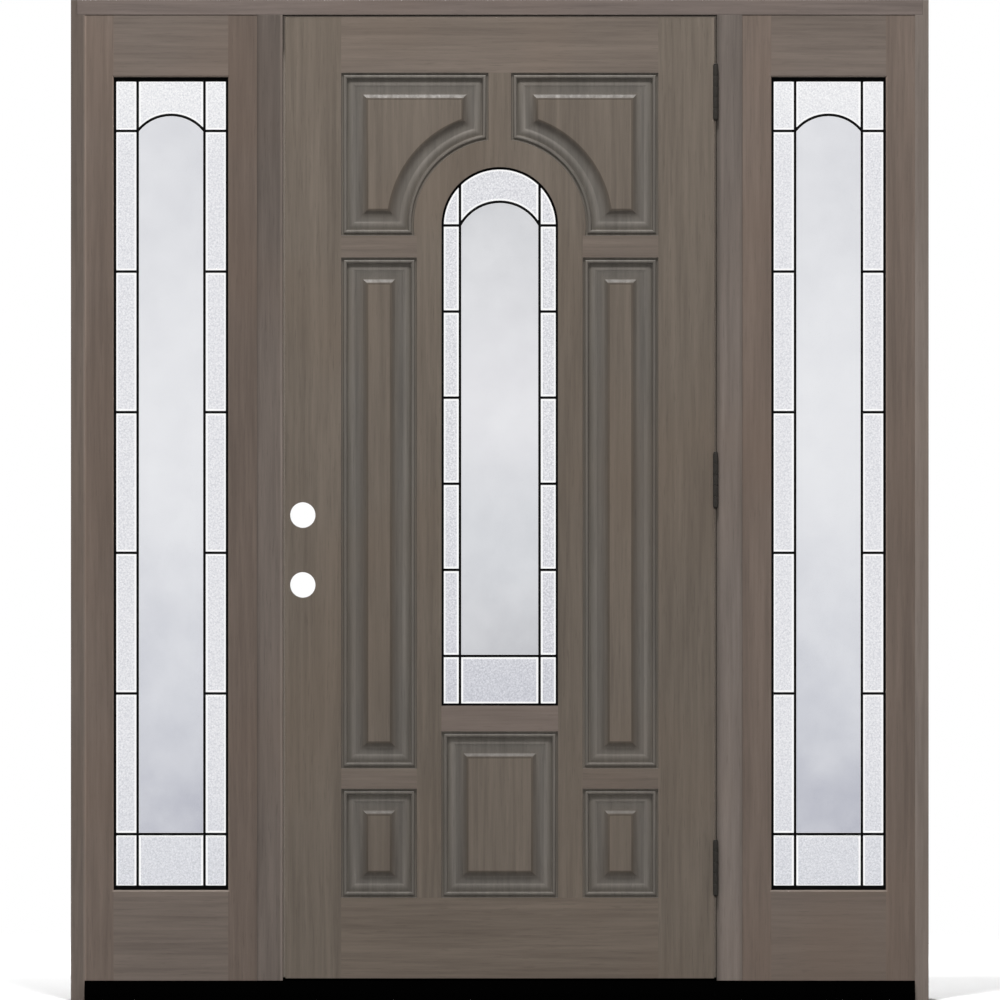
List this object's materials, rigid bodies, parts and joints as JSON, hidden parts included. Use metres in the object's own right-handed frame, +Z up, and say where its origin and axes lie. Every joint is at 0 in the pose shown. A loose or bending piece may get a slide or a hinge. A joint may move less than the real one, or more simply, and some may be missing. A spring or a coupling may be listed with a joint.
{
  "type": "entry door with sidelights",
  "caption": "Panelled outswing entry door with an arched leaded light, hinged in a rabbeted frame between fixed leaded sidelights, standing on a low black sill.",
  "frame": {"origin": "under the middle of the sill, halfway through the depth of the frame", "axes": "+X to the right seen from outside, +Y into the house, +Z up; the outside faces -Y"},
  "size_m": [1.81, 0.129, 2.112],
  "materials": {
    "stained_wood": "satin grey-brown stain",
    "clear_glass": "lightly clouded",
    "textured_glass": "textured with bevelled edges",
    "black_came": "matt black",
    "dark_hinge_steel": "satin dark",
    "black_sill": "matt black",
    "seal_rubber": "soft taupe"
  },
  "bodies": {
    "frame": {"doorway_seal": "seal_rubber", "head_jamb": "stained_wood", "hinge_frame_halves": "dark_hinge_steel", "jamb_left": "stained_wood", "jamb_right": "stained_wood", "mullion_left": "stained_wood", "mullion_right": "stained_wood", "sidelight_left_border_panes": "textured_glass", "sidelight_left_came": "black_came", "sidelight_left_center_pane": "clear_glass", "sidelight_left_glazing_bead": "stained_wood", "sidelight_left_rails": "stained_wood", "sidelight_left_stiles": "stained_wood", "sidelight_right_border_panes": "textured_glass", "sidelight_right_came": "black_came", "sidelight_right_center_pane": "clear_glass", "sidelight_right_glazing_bead": "stained_wood", "sidelight_right_rails": "stained_wood", "sidelight_right_stiles": "stained_wood", "sill": "black_sill"},
    "door_leaf": {"door_arch_rail": "stained_wood", "door_border_panes": "textured_glass", "door_bottom_rail": "stained_wood", "door_came": "black_came", "door_center_pane": "clear_glass", "door_cross_rails": "stained_wood", "door_glazing_bead": "stained_wood", "door_hinge_stile": "stained_wood", "door_inner_stiles": "stained_wood", "door_latch_stile": "stained_wood", "door_mid_rail": "stained_wood", "door_panels": "stained_wood", "door_top_rail": "stained_wood", "hinge_leaf_halves": "dark_hinge_steel"}
  },
  "joints": [
    {"name": "door_swing", "type": "hinge", "parent": "frame", "child": "door_leaf", "pos_m": [0.45525, -0.0655, 1.061], "axis": [0, 0, 1], "range_deg": [0, 170]}
  ]
}
